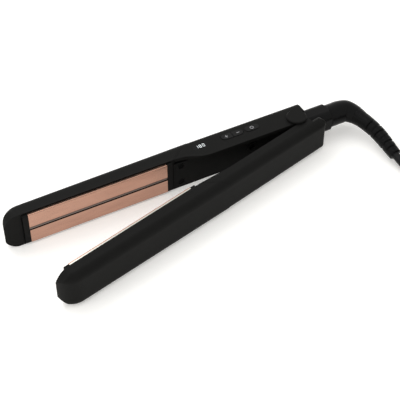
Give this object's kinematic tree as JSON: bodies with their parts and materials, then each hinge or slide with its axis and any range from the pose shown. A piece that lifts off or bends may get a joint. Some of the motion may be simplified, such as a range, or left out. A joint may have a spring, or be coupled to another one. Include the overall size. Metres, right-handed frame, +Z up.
{
  "type": "hair straightening iron",
  "caption": "Hinged hair iron with two floating heated plates, a row of side buttons with a display, and a corded swivel tail.",
  "frame": {"origin": "on the hinge pin's axis, at the side face that the iron lies on", "axes": "+X along the control arm from the hinge to its nose, +Y from the control arm towards the plain arm, +Z up along the hinge pin"},
  "size_m": [0.3943, 0.1497, 0.0322],
  "materials": {
    "black_shell": "fine matte black moulding",
    "black_tail": "satin black moulding",
    "black_trim": "glossy black moulding",
    "copper_plate": "satin copper ceramic coating on aluminium",
    "plate_insert": "brown heat-proof strip",
    "bare_aluminium": "bare extruded aluminium",
    "ceramic": "white ceramic",
    "steel": "plain steel",
    "pins": "nickel-plated brass",
    "brass": "plain brass",
    "board": "green circuit board",
    "carrier": "natural heat-proof moulding",
    "button": "matte black moulding with a light mark",
    "window": "dark glossy window with lit figures",
    "wire": "red silicone sleeve",
    "cord": "black rubbery sheath"
  },
  "bodies": {
    "control_arm": {"handle_shell_a": "black_shell", "barrel_shell_a": "black_shell", "inner_cover_a": "black_shell", "cover_screws_a": "black_trim", "spring_carrier_a": "carrier", "float_springs_a": "steel", "arm_wiring_a": "wire", "circuit_board": "board", "key_switches": "steel", "display_module": "carrier", "display_window": "window", "hinge_pin": "steel", "hinge_cap": "black_shell", "hinge_foot": "black_shell", "torsion_spring": "steel", "tail_housing_upper": "black_tail", "tail_housing_lower": "black_tail", "contact_brushes": "brass"},
    "float_plate_a": {"plate_a": "copper_plate", "plate_insert_a": "plate_insert", "plate_base_a": "bare_aluminium", "heater_a": "ceramic", "end_blocks_a": "black_shell", "thermal_fuse_a": "brass"},
    "power_key": {"power_button": "button"},
    "plus_key": {"plus_button": "button"},
    "minus_key": {"minus_button": "button"},
    "plain_arm": {"handle_shell_b": "black_shell", "barrel_shell_b": "black_shell", "inner_cover_b": "black_shell", "cover_screws_b": "black_trim", "hinge_knuckle_b": "black_shell", "spring_carrier_b": "carrier", "float_springs_b": "steel", "arm_wiring_b": "wire"},
    "float_plate_b": {"plate_b": "copper_plate", "plate_insert_b": "plate_insert", "plate_base_b": "bare_aluminium", "heater_b": "ceramic", "end_blocks_b": "black_shell", "thermal_fuse_b": "brass"},
    "cord_swivel": {"swivel_core": "black_tail", "slip_rings": "brass", "cord_boot": "cord", "power_cord": "cord", "cord_coil": "cord", "coil_tie": "cord", "plug_relief": "cord", "plug_body": "cord", "plug_pins": "pins"}
  },
  "joints": [
    {"name": "arm_hinge", "type": "hinge", "parent": "control_arm", "child": "plain_arm", "pos_m": [0, 0, 0.015], "axis": [0, 0, 1], "range_deg": [-14.3, 0], "stiffness_Nm_per_rad": 0.8, "springref_deg": 22.92},
    {"name": "plate_a_float", "type": "slide", "parent": "control_arm", "child": "float_plate_a", "axis": [0, -1, 0], "range_m": [0, 0.0012], "stiffness_N_per_m": 2000, "springref_m": -0.002},
    {"name": "plate_b_float", "type": "slide", "parent": "plain_arm", "child": "float_plate_b", "axis": [-0.247, 0.969, 0], "range_m": [0, 0.0012], "stiffness_N_per_m": 2000, "springref_m": -0.002},
    {"name": "power_press", "type": "slide", "parent": "control_arm", "child": "power_key", "axis": [0, 0, -1], "range_m": [0, 0.0006], "stiffness_N_per_m": 800, "springref_m": -0.0005},
    {"name": "plus_press", "type": "slide", "parent": "control_arm", "child": "plus_key", "axis": [0, 0, -1], "range_m": [0, 0.0006], "stiffness_N_per_m": 800, "springref_m": -0.0005},
    {"name": "minus_press", "type": "slide", "parent": "control_arm", "child": "minus_key", "axis": [0, 0, -1], "range_m": [0, 0.0006], "stiffness_N_per_m": 800, "springref_m": -0.0005},
    {"name": "cord_turn", "type": "hinge", "parent": "control_arm", "child": "cord_swivel", "pos_m": [-0.0314, -0.005, 0.015], "axis": [1, 0, 0], "continuous": true}
  ]
}
